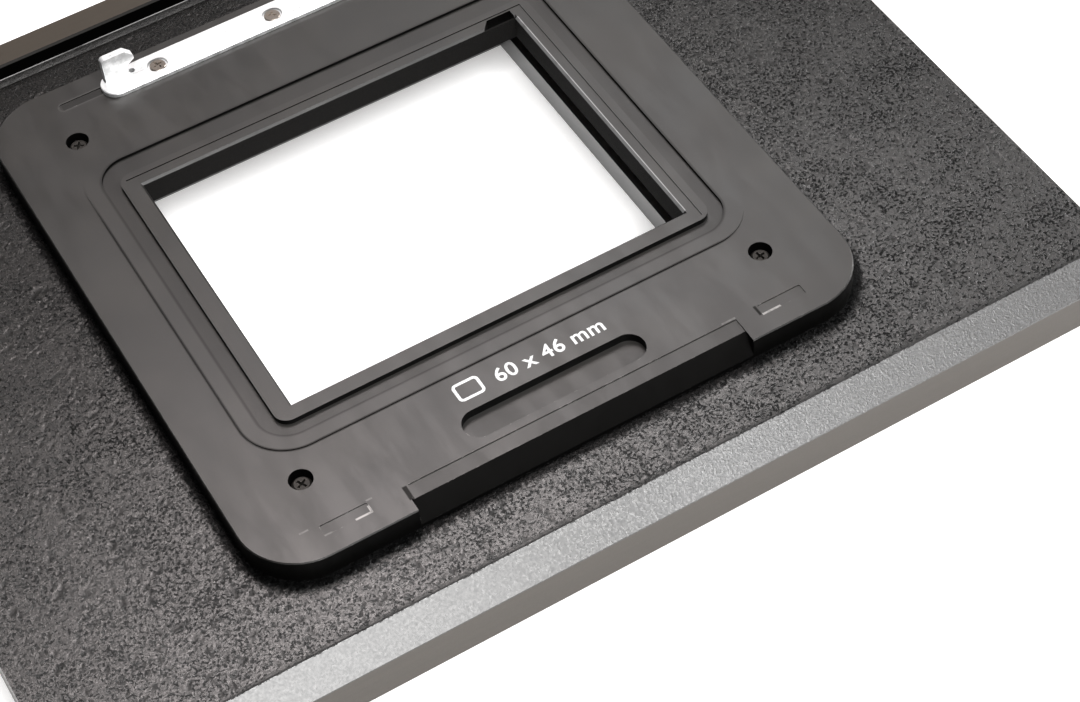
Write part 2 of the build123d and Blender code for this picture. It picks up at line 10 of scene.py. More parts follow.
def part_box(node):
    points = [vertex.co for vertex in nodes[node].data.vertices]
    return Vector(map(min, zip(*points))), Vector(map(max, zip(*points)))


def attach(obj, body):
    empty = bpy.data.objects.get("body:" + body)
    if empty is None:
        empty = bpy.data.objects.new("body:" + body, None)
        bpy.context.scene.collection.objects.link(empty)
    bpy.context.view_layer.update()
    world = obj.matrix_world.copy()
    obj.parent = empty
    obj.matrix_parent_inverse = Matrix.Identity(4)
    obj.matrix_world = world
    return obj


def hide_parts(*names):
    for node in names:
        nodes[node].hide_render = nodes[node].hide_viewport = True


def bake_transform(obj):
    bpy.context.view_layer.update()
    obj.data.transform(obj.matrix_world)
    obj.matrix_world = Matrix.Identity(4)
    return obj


MM = 0.001
X, Y, Z = range(3)
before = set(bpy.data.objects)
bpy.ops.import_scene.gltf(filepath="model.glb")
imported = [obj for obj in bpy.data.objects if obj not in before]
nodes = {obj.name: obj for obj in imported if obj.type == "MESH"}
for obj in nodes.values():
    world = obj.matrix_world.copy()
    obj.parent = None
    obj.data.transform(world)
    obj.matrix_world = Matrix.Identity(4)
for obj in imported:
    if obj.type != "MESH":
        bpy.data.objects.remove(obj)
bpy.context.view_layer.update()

# Places that the CAD fixes, repeated here in metres
WINDOW_CY = -3.8 * MM
FACE_Z = 12.8 * MM  # face of the adapter plate
OPENING_HALF = 33.2 * MM  # square opening of the cover plate
NEAR_SEAM_Y = -59.9 * MM  # top of the cover's near bevel
BODY_Y1 = 56.5 * MM  # far edge of the cover
BEVEL_W = 4.2 * MM
COVER_LAND = 0.25 * MM
PIT = "coat_pit"  # mesh attribute: 1 in a pit of the coat, 0 on its crests

# Rounded outlines in the plan, in mm: centre, size, corner radius
PLATE_OUTLINE = ((0.3, -3.22), (90.8, 94.3), 8.8)
LAND_OUTLINE = ((0.37, -2.83), (75.85, 62.0), 7.0)
CHANNEL_OUTLINE = ((0.22, -2.83), (70.55, 57.15), 4.5)
GUIDE_OUTLINE = ((-30.3, 39.7), (7.4, 1.6), 0.79)

# Rectangles in the plan, in mm: x, then y
UNWORN = (-41.0, 41.0, -43.0, 38.5)  # beyond it, the plate's edges are worn
GUIDE_FLOOR = (-33.4, -27.0, 39.2, 40.2)  # floor of the guide groove, darkened with painted shade
ARRIS_GLINT = (29.98, 30.42, -26.6, 19.0)  # the window's right arris, which catches the light
LEDGE_FIELD = (-42.0, 42.0, -46.6, -43.4)  # round the far walls of the ledge and the lug pockets
LOCK_GROOVE = (-80.0, 80.0, 56.6, 59.3)  # floor of the groove by the rail
RAIL_STEP = (-80.0, 80.0, 58.5, 60.0)  # round the rail's wall and chamfer in that groove
END_SHADE_LINES = ((-24.1, -23.65, -48.35, -46.25), (28.85, 29.05, -47.2, -45.7))  # painted shade lines at the ends of the ledge and the right lug pocket
BRIGHT_RUBS_AND_GLINTS = (  # rubbed arrises of the lug pockets, bare metal and painted highlights
    (-31.3, -28.95, -47.46, -47.16), (29.25, 32.0, -47.46, -47.14), (-29.15, -28.95, -47.4, -46.2))
FAINT_RUBS_AND_GLINTS = (  # lighter rubs at the lug pockets and the ledge, bare metal and painted highlights
    (-35.7, -34.7, -47.46, -47.2), (-38.3, -37.1, -45.55, -45.36),
    (-28.9, -28.1, -45.55, -45.36), (23.8, 25.8, -45.95, -45.75))


# --- node-graph helpers ------------------------------------------------------------------------
class Graph:
    """A small builder for one procedural material."""

    def __init__(self, name):
        self.material = bpy.data.materials.new(name)
        self.material.use_nodes = True
        self.tree = self.material.node_tree
        self.shader = self.tree.nodes["Principled BSDF"]
        self.coords = self.tree.nodes.new("ShaderNodeTexCoord").outputs["Object"]

    def link(self, source, target):
        self.tree.links.new(source, target)

    def put(self, target, value):
        """Links a socket, or sets a plain number."""
        if hasattr(value, "is_output"):
            self.link(value, target)
        else:
            target.default_value = value

    def math(self, operation, a, b=0.0, clamp=False):
        node = self.tree.nodes.new("ShaderNodeMath")
        node.operation, node.use_clamp = operation, clamp
        self.put(node.inputs[0], a)
        self.put(node.inputs[1], b)
        return node.outputs[0]

    def times(self, a, b, clamp=False):
        return self.math("MULTIPLY", a, b, clamp)

    def plus(self, a, b):
        return self.math("ADD", a, b)

    def minus(self, a, b):
        return self.math("SUBTRACT", a, b)

    def rest(self, a):
        return self.math("SUBTRACT", 1.0, a)

    def most(self, a, b):
        return self.math("MAXIMUM", a, b)

    def ramp(self, value, low, high, to_low=0.0, to_high=1.0):
        """value from low..high onto to_low..to_high, clamped and smoothed."""
        node = self.tree.nodes.new("ShaderNodeMapRange")
        node.interpolation_type = "SMOOTHSTEP"
        self.link(value, node.inputs["Value"])
        for key, number in zip(("From Min", "From Max", "To Min", "To Max"), (low, high, to_low, to_high)):
            node.inputs[key].default_value = number
        return node.outputs["Result"]

    def along(self, which, low_mm, high_mm, to_low=0.0, to_high=1.0):
        """The same for one coordinate, with its limits in mm."""
        return self.ramp(self.axis(which), low_mm * MM, high_mm * MM, to_low, to_high)

    def mapped(self, scale=(1, 1, 1), rotation=(0, 0, 0)):
        node = self.tree.nodes.new("ShaderNodeMapping")
        self.link(self.coords, node.inputs["Vector"])
        node.inputs["Scale"].default_value = scale
        node.inputs["Rotation"].default_value = rotation
        return node.outputs["Vector"]

    def noise(self, size_mm, detail=3.0, roughness=0.5, vector=None, distortion=0.0):
        node = self.tree.nodes.new("ShaderNodeTexNoise")
        self.link(vector or self.coords, node.inputs["Vector"])
        node.inputs["Scale"].default_value = 1.0 / (size_mm * MM)
        node.inputs["Detail"].default_value = detail
        node.inputs["Roughness"].default_value = roughness
        node.inputs["Distortion"].default_value = distortion
        return node.outputs["Fac"]

    def attribute(self, name):
        node = self.tree.nodes.new("ShaderNodeAttribute")
        node.attribute_name = name
        return node.outputs["Fac"]

    def axis(self, which):
        node = self.tree.nodes.new("ShaderNodeSeparateXYZ")
        self.link(self.coords, node.inputs[0])
        return node.outputs[which]

    def blend(self, factor, a, b):
        """Mixes two colours or sockets by factor."""
        node = self.tree.nodes.new("ShaderNodeMix")
        node.data_type = "RGBA"
        self.put(node.inputs["Factor"], factor)
        for socket, value in ((node.inputs[6], a), (node.inputs[7], b)):
            self.put(socket, value if hasattr(value, "is_output") else (*value, 1.0))
        return node.outputs[2]

    def inside(self, x0, x1, y0, y1, soft_mm=0.15):
        """1 inside a rectangle of the plan, in mm, fading out over soft_mm."""
        mask = 1.0
        for which, low, high in ((0, x0, x1), (1, y0, y1)):
            at = self.axis(which)
            mask = self.times(mask, self.ramp(at, (low - soft_mm) * MM, low * MM))
            mask = self.times(mask, self.ramp(at, high * MM, (high + soft_mm) * MM, 1.0, 0.0))
        return mask

    def outline(self, centre, size, corner):
        """Distance in metres from the outline of a rounded rectangle of the plan, given in mm."""
        over = []
        for which in (0, 1):
            off = self.math("ABSOLUTE", self.minus(self.axis(which), centre[which] * MM))
            over.append(self.minus(off, (size[which] / 2 - corner) * MM))
        square = [self.math("POWER", self.most(q, 0.0), 2.0) for q in over]
        outside = self.math("SQRT", self.plus(*square))
        inside = self.math("MINIMUM", self.most(*over), 0.0)
        signed = self.minus(self.plus(outside, inside), corner * MM)
        return self.math("ABSOLUTE", signed)

    def wall(self):
        """1 on upright faces, 0 on level ones."""
        geometry = self.tree.nodes.new("ShaderNodeNewGeometry")
        parts = self.tree.nodes.new("ShaderNodeSeparateXYZ")
        self.link(geometry.outputs["Normal"], parts.inputs[0])
        return self.ramp(self.math("ABSOLUTE", parts.outputs[2]), 0.85, 0.55)

    def edges(self, radius_mm):
        """1 near an edge of the mesh, 0 on its faces."""
        bevel = self.tree.nodes.new("ShaderNodeBevel")
        bevel.samples = 4
        bevel.inputs["Radius"].default_value = radius_mm * MM
        geometry = self.tree.nodes.new("ShaderNodeNewGeometry")
        dot = self.tree.nodes.new("ShaderNodeVectorMath")
        dot.operation = "DOT_PRODUCT"
        self.link(bevel.outputs[0], dot.inputs[0])
        self.link(geometry.outputs["Normal"], dot.inputs[1])
        return self.ramp(dot.outputs["Value"], 0.98, 0.80)

    def bump(self, height, depth_mm, under=None):
        """Chains a bump: height 0..1 stands for depth_mm."""
        node = self.tree.nodes.new("ShaderNodeBump")
        node.inputs["Distance"].default_value = depth_mm * MM
        node.inputs["Strength"].default_value = 1.0
        self.link(height, node.inputs["Height"])
        if under is not None:
            self.link(under, node.inputs["Normal"])
        return node.outputs["Normal"]

    def finish(self, colour, roughness, normal, metallic=0.0, **plain):
        socket = self.shader.inputs
        self.put(socket["Base Color"], colour if hasattr(colour, "is_output") else (*colour, 1.0))
        self.put(socket["Roughness"], roughness)
        self.put(socket["Metallic"], metallic)
        self.link(normal, socket["Normal"])
        for key, value in plain.items():
            socket[key.replace("_", " ")].default_value = value
        return self.material


def grey(level, warm=0.0):
    """A nearly neutral colour; warm above 0 leans to brown."""
    return (level * (1 + warm), level, level * (1 - warm))


# --- materials ---------------------------------------------------------------------------------
def anodised():
    """Fine matt black with a handled sheen on its level faces, painted shade dulling its creases, walls and
    lower faces, and rubbed arrises that also carry painted highlights.
    """
    g = Graph("anodised_black")
    fine = g.noise(0.35, 4, 0.6)
    broad = g.noise(11, 3)
    streaks = g.noise(3.0, 4, 0.6, vector=g.mapped(scale=(1, 0.25, 1), rotation=(0, 0, 0.5)))
    colour = g.blend(g.ramp(broad, 0.3, 0.7), grey(0.017, 0.06), grey(0.022, 0.09))
    colour = g.blend(g.ramp(g.noise(0.12, 2), 0.70, 0.78), colour, grey(0.05, 0.05))
    low = g.ramp(g.axis(Z), FACE_Z - 0.05 * MM, FACE_Z - 0.25 * MM)
    # Painted shade: dark lines along the land's and the channel's steps
    step_shade = g.times(g.ramp(g.outline(*LAND_OUTLINE), 0.30 * MM, 0.08 * MM),
                     g.times(g.along(Y, 24, 14, 0.0, 0.55), g.along(X, 36, 30)))
    step_shade = g.most(step_shade, g.ramp(g.outline(*CHANNEL_OUTLINE), 0.45 * MM, 0.05 * MM, 0.0, 0.35))
    for place in END_SHADE_LINES:
        step_shade = g.most(step_shade, g.times(g.inside(*place, soft_mm=0.2), 0.75))
    # Painted shade on upright faces, weaker on the shallow walls round the ledge and the lug pockets
    just_below = g.ramp(g.axis(Z), FACE_Z - 0.25 * MM, FACE_Z - 0.2 * MM)
    shallow = g.times(g.inside(*LEDGE_FIELD), just_below)
    wall = g.times(g.wall(), g.rest(g.times(shallow, 0.65)))
    # Painted shade: the step lines, the upright faces, and a little on the faces below the plate's face
    painted_shade = g.most(g.most(step_shade, wall), g.times(low, 0.12))
    # Painted shade on the guide groove's floor
    painted_shade = g.most(painted_shade, g.times(g.inside(*GUIDE_FLOOR, soft_mm=0.3), 0.30))
    colour = g.blend(painted_shade, colour, grey(0.003, 0.1))
    rim = g.rest(g.inside(*UNWORN))
    chips = g.times(g.ramp(g.noise(1.1, 5, 0.65), 0.55, 0.62), rim)
    edge_marks = g.times(g.times(g.edges(0.10), chips), 0.4)
    patchy = g.ramp(g.noise(0.8, 3), 0.25, 0.55, 0.30, 1.0)
    # Rubs on the arrises by the lug pockets and the ledge: rubbed bare metal, and painted highlights
    for places, strength in ((BRIGHT_RUBS_AND_GLINTS, 0.42), (FAINT_RUBS_AND_GLINTS, 0.13)):
        for place in places:
            rub_glint = g.times(g.inside(*place, soft_mm=0.08), g.times(patchy, strength))
            edge_marks = g.most(edge_marks, rub_glint)
    colour = g.blend(edge_marks, colour, grey(0.62, 0.03))
    guide = g.ramp(g.outline(*GUIDE_OUTLINE), 0.24 * MM, 0.06 * MM, 0.0, 0.06)
    colour = g.blend(guide, colour, grey(0.40, 0.03))
    glint = g.times(g.inside(*ARRIS_GLINT, soft_mm=0.05), g.ramp(g.noise(4, 3), 0.25, 0.5, 0.5, 1.0))
    above = g.ramp(g.axis(Z), FACE_Z, FACE_Z + 0.1 * MM)
    colour = g.blend(g.times(glint, above), colour, grey(0.24))
    rough = g.plus(g.ramp(streaks, 0.3, 0.7, 0.26, 0.35), g.times(fine, 0.06))
    rough = g.plus(rough, g.times(painted_shade, 0.2))
    # A near-black metal hardly shines, so the painted shade in creases, on walls and on lower faces stays
    # dark
    metal = g.most(g.times(painted_shade, 0.9), edge_marks)
    return g.finish(colour, rough, g.bump(fine, 0.005), metal, Specular_IOR_Level=0.7)


def crinkle():
    """Black crinkle coat: pits on the flat top darkened with painted shade, fine grain between them and on
    the bevels, painted shade at the adapter plate's foot and towards the far side, and a painted highlight
    along the far bevel's foot.
    """
    g = Graph("crinkle_coat")
    flat = g.ramp(g.axis(Y), NEAR_SEAM_Y - 0.12 * MM, NEAR_SEAM_Y + 0.03 * MM)
    sloped = g.rest(flat)
    right = g.along(X, -30, 45)

    # Pits: fine ones that crowd here and there, larger ragged ones, and those of the mesh
    crowd = g.times(g.minus(g.noise(7, 3), 0.5), 0.20)
    blots = g.minus(g.plus(g.noise(0.40, 3, 0.60, distortion=0.4), crowd), g.times(right, 0.03))
    blobs = g.ramp(g.noise(0.85, 4, 0.68, distortion=0.6), 0.43, 0.35)
    blobs = g.times(blobs, g.plus(0.65, g.times(right, 0.2)))
    hollow = g.times(g.most(g.ramp(blots, 0.455, 0.375), blobs), flat)
    pit = g.most(hollow, g.times(g.attribute(PIT), 0.55))

    # The shaded band at the adapter plate's foot, with a ragged outer edge
    from_plate = g.outline(*PLATE_OUTLINE)
    ragged = g.times(g.minus(g.noise(0.6, 3, 0.6), 0.5), 3.0 * MM)
    foot = g.ramp(g.plus(from_plate, ragged), 2.3 * MM, 0.9 * MM)
    foot = g.most(foot, g.ramp(from_plate, 1.3 * MM, 0.7 * MM))

    # Grain, calmer at the left end of the near bevel
    fine = g.noise(0.18, 3, 0.7)
    grain = g.minus(g.noise(0.36, 4, 0.62, distortion=0.5), 0.5)
    grain = g.plus(0.5, g.times(grain, g.plus(1.0, g.times(sloped, g.along(X, -25, 30, -0.6, 0.8)))))

    # A line of bare metal and painted highlight along the far bevel's foot
    broken = g.ramp(g.noise(1.4, 3, vector=g.mapped(scale=(0.3, 1, 1))), 0.25, 0.45, 0.5, 1.0)
    rim = g.times(g.ramp(g.axis(Y), BODY_Y1 - 0.55 * MM, BODY_Y1 - 0.30 * MM), broken)

    colour = g.blend(g.ramp(grain, 0.38, 0.64), grey(0.012, 0.05), grey(0.034, 0.05))
    # Painted shade in the pits, the seam and at the adapter plate's foot; painted highlight along the far
    # bevel's foot
    for mask, tone in ((pit, grey(0.005)), (foot, grey(0.006)), (rim, grey(0.42, 0.01))):
        colour = g.blend(mask, colour, tone)
    rough = g.plus(g.ramp(grain, 0.35, 0.65, 0.38, 0.25), g.times(pit, 0.2))
    normal = g.bump(g.rest(pit), 0.05, under=g.bump(grain, 0.028, under=g.bump(fine, 0.007)))

    # Painted shade: a near-black metal hardly shines, so this dulls and darkens the pits, the foot, the far
    # side and the left part of the near bevel
    painted_shade_ramp = g.times(g.along(Y, -62, 20, 0.0, 0.50), flat)
    painted_shade_ramp = g.plus(painted_shade_ramp, g.along(Y, 34, 50, 0.0, 0.25))
    painted_shade_ramp = g.plus(painted_shade_ramp, g.along(Y, 51.2, 52.4, 0.0, 0.18))
    painted_shade_ramp = g.most(painted_shade_ramp, g.times(sloped, g.along(X, 20, -10, 0.0, 0.36)))
    depth = g.most(g.plus(0.56, g.times(right, 0.30)), g.along(Y, -45, -10, 0.56, 0.84))
    dim = g.most(g.times(pit, depth), g.times(foot, 0.94))
    metal = g.times(g.most(dim, painted_shade_ramp), g.rest(rim))
    return g.finish(colour, rough, normal, metal, Specular_IOR_Level=1.0)


def satin():
    """Smooth brown-black alloy, brushed along X; the rail's groove is darkened to black with painted shade.
    """
    g = Graph("satin_black_alloy")
    fine = g.noise(0.3, 4, 0.6)
    along = g.noise(1.0, 3, vector=g.mapped(scale=(0.06, 1, 1)))
    colour = g.blend(along, grey(0.026, 0.27), grey(0.035, 0.27))
    # Painted shade on the groove's floor and on the rail's wall and chamfer in the groove
    step = g.times(g.inside(*RAIL_STEP), g.times(g.wall(), 2.2, clamp=True))
    groove = g.most(g.inside(*LOCK_GROOVE, soft_mm=0.1), step)
    colour = g.blend(groove, colour, grey(0.004, 0.1))
    rough = g.plus(g.times(fine, 0.12), 0.38)
    return g.finish(colour, rough, g.bump(along, 0.006, under=g.bump(fine, 0.006)), g.times(groove, 0.9))


def plain_metal(name, level, roughness, warm=0.0):
    """Bare metal, brushed along X."""
    g = Graph(name)
    along = g.noise(0.25, 4, 0.6, vector=g.mapped(scale=(0.05, 1, 1)))
    spots = g.noise(3.0, 4)
    colour = g.blend(spots, grey(level * 0.93, warm), grey(level, warm))
    rough = g.plus(g.times(along, 0.12), roughness - 0.05)
    return g.finish(colour, rough, g.bump(along, 0.003), 1.0)


def bright_nickel():
    """Pale bright plating over a blasted surface; upright faces are painted darker, a painted reflection of
    the darker room.
    """
    g = Graph("bright_steel")
    fine = g.noise(0.16, 4, 0.65)
    brushed = g.noise(0.4, 3, vector=g.mapped(scale=(0.05, 1, 1)))
    smudge = g.noise(1.6, 4, 0.6)
    colour = g.blend(g.ramp(smudge, 0.35, 0.65), grey(0.80), grey(0.93))
    # Painted reflection: upright faces darker
    colour = g.blend(g.wall(), colour, g.blend(g.ramp(smudge, 0.35, 0.65), grey(0.34), grey(0.60)))
    rough = g.plus(g.ramp(brushed, 0.3, 0.7, 0.24, 0.34), g.times(smudge, 0.08))
    return g.finish(colour, rough, g.bump(fine, 0.004), 0.5)


def blackened(name, level, roughness):
    """Blackened steel with edges rubbed through to brown."""
    g = Graph(name)
    fine = g.noise(0.2, 4)
    edge_marks = g.times(g.edges(0.08), g.ramp(g.noise(0.5, 3), 0.35, 0.6))
    colour = g.blend(g.times(edge_marks, 0.6), grey(level, 0.1), grey(0.22, 0.10))
    return g.finish(colour, g.plus(g.times(fine, 0.2), roughness), g.bump(fine, 0.008), 0.6)


def fibre(name, level, size_mm, depth_mm, warm=0.05):
    """Felt, flock or foam: rough, and with hardly any shine."""
    g = Graph(name)
    fuzz = g.noise(size_mm, 6, 0.75, distortion=1.0)
    colour = g.blend(g.ramp(fuzz, 0.3, 0.7), grey(level * 0.5), grey(level, warm))
    return g.finish(colour, 0.95, g.bump(fuzz, depth_mm), Specular_IOR_Level=0.15)


def white_ink():
    """Printed ink, slightly worn."""
    g = Graph("white_ink")
    worn = g.noise(0.25, 4, 0.6)
    colour = g.blend(g.ramp(worn, 0.30, 0.55), grey(0.42), grey(0.72))
    return g.finish(colour, 0.55, g.bump(worn, 0.01))


FINISHES = {
    "anodised_black": anodised(),
    "crinkle_coat": crinkle(),
    "satin_black_alloy": satin(),
    "grey_alloy": plain_metal("grey_alloy", 0.20, 0.42),
    "bright_steel": bright_nickel(),
    "black_steel": blackened("black_steel", 0.03, 0.34),
    "brass_screw": plain_metal("brass_screw", 0.27, 0.34, warm=0.12),
    "plain_steel": plain_metal("plain_steel", 0.62, 0.28),
    "black_felt": fibre("black_felt", 0.02, 0.5, 0.15),
    "black_foam": fibre("black_foam", 0.025, 0.3, 0.10),
    "black_flock": fibre("black_flock", 0.005, 0.25, 0.08, warm=0.15),
}
INK = "white_ink"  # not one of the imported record's slots
FINISHES[INK] = white_ink()
for node in nodes.values():
    for slot in node.material_slots:
        slot.material = FINISHES[slot.material.name.split(".")[0]]

# --- the cover plate's pitted coat --------------------------------------------------------------
GRID = 0.34 * MM
HIDDEN_X, HIDDEN_Y = 42.0 * MM, 43.2 * MM  # half sizes of the area that the adapter plate hides
CRINKLE_DEPTH, PIT_DEPTH, SEAM_DEPTH = 0.015 * MM, 0.06 * MM, 0.09 * MM
NEAR_SEAM_SHARE, FAR_SEAM_SHARE = 1.0, 0.25  # how deep the seam between top and bevel is cut
SEAM_WAVE = 1.5 * MM
EDGE_FADE = 0.3 * MM  # the relief fades towards the short ends
EDGE_SHARE = 0.15
draw = np.random.default_rng(645)


def lattice(x, y, size):
    """Smooth random field, 0..1, with features of about that size, on a lattice turned at random."""
    turn = draw.uniform(0, math.pi / 2)
    u = (x * math.cos(turn) + y * math.sin(turn)) / size
    v = (y * math.cos(turn) - x * math.sin(turn)) / size
    u, v = u - u.min(), v - v.min()
    table = draw.random((int(u.max()) + 3, int(v.max()) + 3))
    i, j = u.astype(int), v.astype(int)
    fu, fv = u - i, v - j
    fu, fv = fu * fu * (3 - 2 * fu), fv * fv * (3 - 2 * fv)
    near = table[i, j] * (1 - fu) + table[i + 1, j] * fu
    far = table[i, j + 1] * (1 - fu) + table[i + 1, j + 1] * fu
    return near * (1 - fv) + far * fv


def smooth_step(value, low, high):
    t = np.clip((value - low) / (high - low), 0, 1)
    return t * t * (3 - 2 * t)


def coat_rows(low, high):
    """(y, z, tilt, share of pits) of each grid row, from the near land over the top to the far land."""
    rise = high.z - low.z - COVER_LAND
    tilt = math.atan2(rise, BEVEL_W)
    steps = int(BEVEL_W / GRID)
    rows = []
    for side, y in ((1, low.y), (-1, high.y)):
        half = [(y + side * BEVEL_W * t / steps, low.z + COVER_LAND + rise * t / steps, -side * tilt, 0.0)
                for t in range(steps)]
        half.append((y + side * BEVEL_W, high.z, 0.0, 0.0))
        rows.append(half)
    first, last = rows[0][-1][0], rows[1][-1][0]
    count = int((last - first) / GRID)
    flat = [(first + (last - first) * t / count, high.z, 0.0, 1.0) for t in range(1, count)]
    return rows[0] + flat + rows[1][::-1]


def coat_relief(x, y, pit_share):
    """Depth in metres below the true face, and the pit mask, at each grid point."""
    def field(*sizes_mm):
        return sum(lattice(x, y, s * MM) for s in sizes_mm) / len(sizes_mm)

    crowd = 0.05 * (field(14, 6) - 0.5)  # pits crowd in some areas
    pits = smooth_step(field(0.7, 0.55, 0.45) + crowd, 0.34, 0.22) * pit_share
    ridges = 1 - np.abs(2 * field(1.3, 0.75) - 1) ** 0.7
    crinkle = 0.55 * (1 - ridges) + 0.45 * field(0.65, 0.5)
    return CRINKLE_DEPTH * crinkle + PIT_DEPTH * pits, pits


def coat_mesh():
    """The cover plate with its relief; its underside and the top that the adapter plate hides are flat."""
    low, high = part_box("cover_plate")
    rows = coat_rows(low, high)
    xs = np.linspace(low.x, high.x, int((high.x - low.x) / GRID) + 1)
    ys, zs, tilts, share = (np.array(c)[:, None] for c in zip(*rows))
    x, y = np.meshgrid(xs, ys[:, 0])
    clear = np.maximum(np.abs(x) - HIDDEN_X, np.abs(y - WINDOW_CY) - HIDDEN_Y) / MM
    depth, pits = coat_relief(x, y, share * np.ones_like(x))
    from_end = np.minimum(x - low.x, high.x - x) / EDGE_FADE
    depth *= np.clip(clear, 0, 1) * np.clip(from_end, EDGE_SHARE, 1)
    depth[0] = depth[-1] = 0
    flat = [j for j, row in enumerate(rows) if row[3] == 1.0]
    # The seam rows are marked like pits, so the shader darkens them with painted shade
    for j, seam_share in ((flat[0], NEAR_SEAM_SHARE), (flat[-1], FAR_SEAM_SHARE)):
        cut = seam_share * (0.75 + 0.25 * lattice(x[j:j + 1], y[j:j + 1], SEAM_WAVE)[0])
        depth[j] += SEAM_DEPTH * cut
        pits[j] = cut
    verts = np.stack([x, y + np.sin(tilts) * -depth, zs - np.cos(tilts) * depth], -1)

    nj, ni = x.shape
    faces, number = [], np.arange(ni * nj).reshape(nj, ni)
    mid_x, mid_y = (xs[1:] + xs[:-1]) / 2, (ys[1:, 0] + ys[:-1, 0]) / 2
    hidden_i = np.nonzero(np.abs(mid_x) < HIDDEN_X)[0]
    hidden_j = np.nonzero(np.abs(mid_y - WINDOW_CY) < HIDDEN_Y)[0]
    i0, i1, j0, j1 = hidden_i[0], hidden_i[-1] + 1, hidden_j[0], hidden_j[-1] + 1
    for j in range(nj - 1):
        for i in range(ni - 1):
            if not (i0 <= i < i1 and j0 <= j < j1):
                faces.append((number[j, i], number[j, i + 1], number[j + 1, i + 1], number[j + 1, i]))
    points = verts.reshape(-1, 3).tolist()
    mask = pits.reshape(-1).tolist()

    def add(px, py, pz):
        points.append((px, py, pz))
        mask.append(0.0)
        return len(points) - 1

    # The square opening, the flat ring round it, and the underside
    signs = ((-1, -1), (1, -1), (1, 1), (-1, 1))
    corners = [(sx * OPENING_HALF, WINDOW_CY + sy * OPENING_HALF) for sx, sy in signs]
    top = [add(*c, high.z) for c in corners]
    bottom = [add(*c, low.z) for c in corners]
    inner = [number[j0, i0:i1 + 1], number[j0:j1 + 1, i1],
             number[j1, i0:i1 + 1][::-1], number[j0:j1 + 1, i0][::-1]]
    outer = [number[0], number[:, -1], number[-1, ::-1], number[::-1, 0]]
    under = {}
    for side in outer:
        for k in side:
            if k not in under:
                under[k] = add(points[k][0], points[k][1], low.z)
    for k in range(4):
        n = (k + 1) % 4
        faces.append((*inner[k], top[n], top[k]))
        faces.append((top[k], top[n], bottom[n], bottom[k]))
        faces.append((*(under[v] for v in outer[k][::-1]), bottom[k], bottom[n]))
        for a, b in zip(outer[k][:-1], outer[k][1:]):
            faces.append((b, a, under[a], under[b]))
    mesh = bpy.data.meshes.new("cover_coat")
    mesh.from_pydata(points, [], [[int(v) for v in f] for f in faces])
    mesh.attributes.new(PIT, "FLOAT", "POINT").data.foreach_set("value", np.array(mask, np.float32))
    return mesh


def piece(name, mesh, body, slot, *stands_for, sharp_deg=40):
    """Links a finished mesh, shades it, and binds it to its finish, and to its body if it has one."""
    mesh.polygons.foreach_set("use_smooth", [True] * len(mesh.polygons))
    mesh.set_sharp_from_angle(angle=math.radians(sharp_deg))
    mesh.materials.clear()
    mesh.materials.append(FINISHES[slot])
    made = bpy.data.objects.new(name, mesh)
    bpy.context.scene.collection.objects.link(made)
    if body:
        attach(made, body)
    if stands_for:
        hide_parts(*stands_for)
    return made


piece("cover_coat", coat_mesh(), "board", "crinkle_coat", "cover_plate")

# --- white marking: the window's size in mm, beside a sign for its frame --------------------------
INK_RISE = 0.02 * MM
FIGURES_AT, FIGURES_SIZE = (-5.6 * MM, WINDOW_CY - 34.45 * MM), 3.2 * MM
SIGN_AT, SIGN_HALF = (-9.4 * MM, WINDOW_CY - 33.2 * MM), (1.95 * MM, 1.55 * MM)
SIGN_CORNER, SIGN_LINE, SIGN_TURNS = 0.7 * MM, 0.42 * MM, 6


def figures_mesh():
    """Flat figures in the built-in font."""
    text = bpy.data.curves.new("figures", "FONT")
    text.body, text.size, text.space_character = "60 x 46 mm", FIGURES_SIZE, 1.06
    text.offset = 0.05 * MM
    holder = bpy.data.objects.new("figures", text)
    mesh = bpy.data.meshes.new_from_object(holder)
    bpy.data.objects.remove(holder)
    mesh.transform(Matrix.Translation((*FIGURES_AT, FACE_Z + INK_RISE)))
    return mesh


def sign_mesh():
    """A rectangular frame with rounded corners."""
    points, faces = [], []
    for inset in (0.0, SIGN_LINE):
        radius = SIGN_CORNER - inset
        for k, (sx, sy) in enumerate(((1, 1), (-1, 1), (-1, -1), (1, -1))):
            for t in range(SIGN_TURNS + 1):
                angle = (k + t / SIGN_TURNS) * math.pi / 2
                points.append((SIGN_AT[0] + sx * (SIGN_HALF[0] - SIGN_CORNER) + radius * math.cos(angle),
                               SIGN_AT[1] + sy * (SIGN_HALF[1] - SIGN_CORNER) + radius * math.sin(angle),
                               FACE_Z + INK_RISE))
    ring = len(points) // 2
    for k in range(ring):
        n = (k + 1) % ring
        faces.append((k, n, ring + n, ring + k))
    mesh = bpy.data.meshes.new("frame_sign")
    mesh.from_pydata(points, [], faces)
    return mesh


piece("window_figures", figures_mesh(), "board", INK)
piece("window_sign", sign_mesh(), "board", INK)

# --- the return spring, which the latch compresses ----------------------------------------------
SPRING_TURNS, WIRE_R = 13, 0.12 * MM
STEPS_PER_TURN, WIRE_SIDES = 20, 8


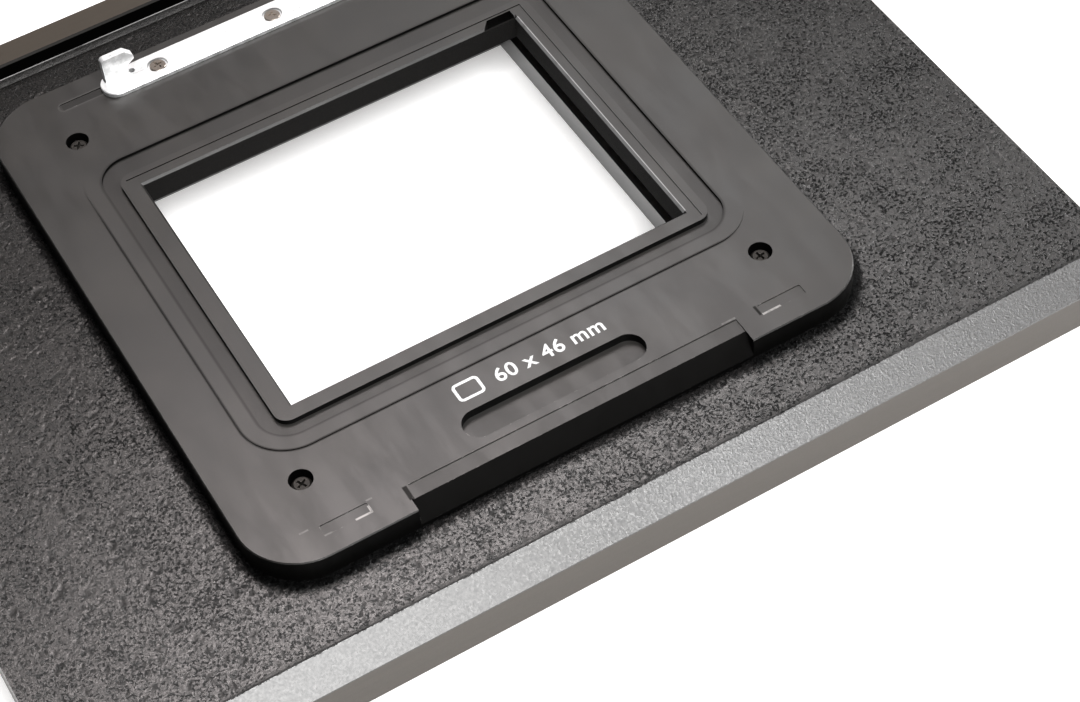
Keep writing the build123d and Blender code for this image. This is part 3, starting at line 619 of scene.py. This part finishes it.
def spring_mesh():
    """The coil inside the CAD spring's box, and the middles of its two ends."""
    low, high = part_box("return_spring")
    axis_y, axis_z = (low.y + high.y) / 2, (low.z + high.z) / 2
    coil_r = (high.z - low.z) / 2 - WIRE_R
    start, end = low.x + WIRE_R, high.x - WIRE_R
    steps, around = SPRING_TURNS * STEPS_PER_TURN, WIRE_SIDES
    points, faces = [], []
    for k in range(steps + 1):
        turn = 2 * math.pi * SPRING_TURNS * k / steps
        out = Vector((0, math.cos(turn), math.sin(turn)))
        centre = Vector((start + (end - start) * k / steps, axis_y, axis_z)) + coil_r * out
        for a in range(around):
            angle = 2 * math.pi * a / around
            points.append(centre + WIRE_R * (math.cos(angle) * out + math.sin(angle) * Vector((1, 0, 0))))
    for k in range(steps):
        for a in range(around):
            b = (a + 1) % around
            here, ahead = k * around, (k + 1) * around
            faces.append((here + a, here + b, ahead + b, ahead + a))
    faces += [tuple(range(around))[::-1], tuple(steps * around + a for a in range(around))]
    mesh = bpy.data.meshes.new("spring_wire")
    mesh.from_pydata(points, [], faces)
    return mesh, (start, axis_y, axis_z), (end, axis_y, axis_z)


spring, spring_start, spring_end = spring_mesh()
wire = piece("spring_wire", spring, None, "plain_steel", "return_spring", sharp_deg=80)
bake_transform(wire)

# --- floor, light and camera -------------------------------------------------------------------
FLOOR_HALF = 3.0
bpy.ops.mesh.primitive_plane_add(size=2 * FLOOR_HALF)
floor = bpy.context.active_object
floor.name = "floor"
paper = Graph("pale_paper")
floor.data.materials.append(paper.finish(
    paper.blend(paper.noise(30, 3), (0.86, 0.855, 0.85), (0.90, 0.895, 0.89)), 0.75,
    paper.bump(paper.noise(0.8, 4), 0.02), Emission_Color=(1.0, 0.985, 0.975, 1.0), Emission_Strength=0.30))

world = bpy.data.worlds.new("studio")
world.use_nodes = True
world.node_tree.nodes["Background"].inputs["Color"].default_value = (1.0, 0.99, 0.98, 1.0)
world.node_tree.nodes["Background"].inputs["Strength"].default_value = 0.03
bpy.context.scene.world = world


def softbox(name, place, size, watts, colour=(1, 1, 1)):
    """A rectangular light that faces the object."""
    light = bpy.data.lights.new(name, "AREA")
    light.shape, light.size, light.size_y = "RECTANGLE", *size
    light.energy, light.color = watts, colour
    lamp = bpy.data.objects.new(name, light)
    bpy.context.scene.collection.objects.link(lamp)
    lamp.location = place
    lamp.rotation_euler = (-Vector(place)).to_track_quat("-Z", "Y").to_euler()


softbox("main", (0.0, -0.80, 1.30), (0.90, 0.90), 37)
softbox("main_side", (0.60, -0.80, 1.30), (0.50, 0.90), 2.3)
softbox("far_top", (0.20, 0.60, 1.30), (0.40, 0.40), 4.9, (1.0, 0.91, 0.90))
softbox("far_right", (0.60, 0.95, 1.30), (0.40, 0.40), 1.6)
softbox("right_low", (1.30, 0.0, 0.50), (0.50, 0.50), 19)

CAMERA_AT = Vector((-88.42, -220.12, 266.12)) * MM
RIGHT, UP = Vector((0.86115, -0.50483, -0.05982)), Vector((0.42666, 0.65376, 0.62495))
FORWARD = Vector((0.27638, 0.56370, -0.77837))
camera_data = bpy.data.cameras.new("camera")
camera_data.lens, camera_data.sensor_width = 83.14, 36.0
camera_data.clip_start = 0.01
camera = bpy.data.objects.new("camera", camera_data)
bpy.context.scene.collection.objects.link(camera)
camera.matrix_world = Matrix((
    (RIGHT.x, UP.x, -FORWARD.x, CAMERA_AT.x),
    (RIGHT.y, UP.y, -FORWARD.y, CAMERA_AT.y),
    (RIGHT.z, UP.z, -FORWARD.z, CAMERA_AT.z),
    (0, 0, 0, 1)))
bpy.context.scene.camera = camera
bpy.context.scene.view_settings.view_transform = "Standard"
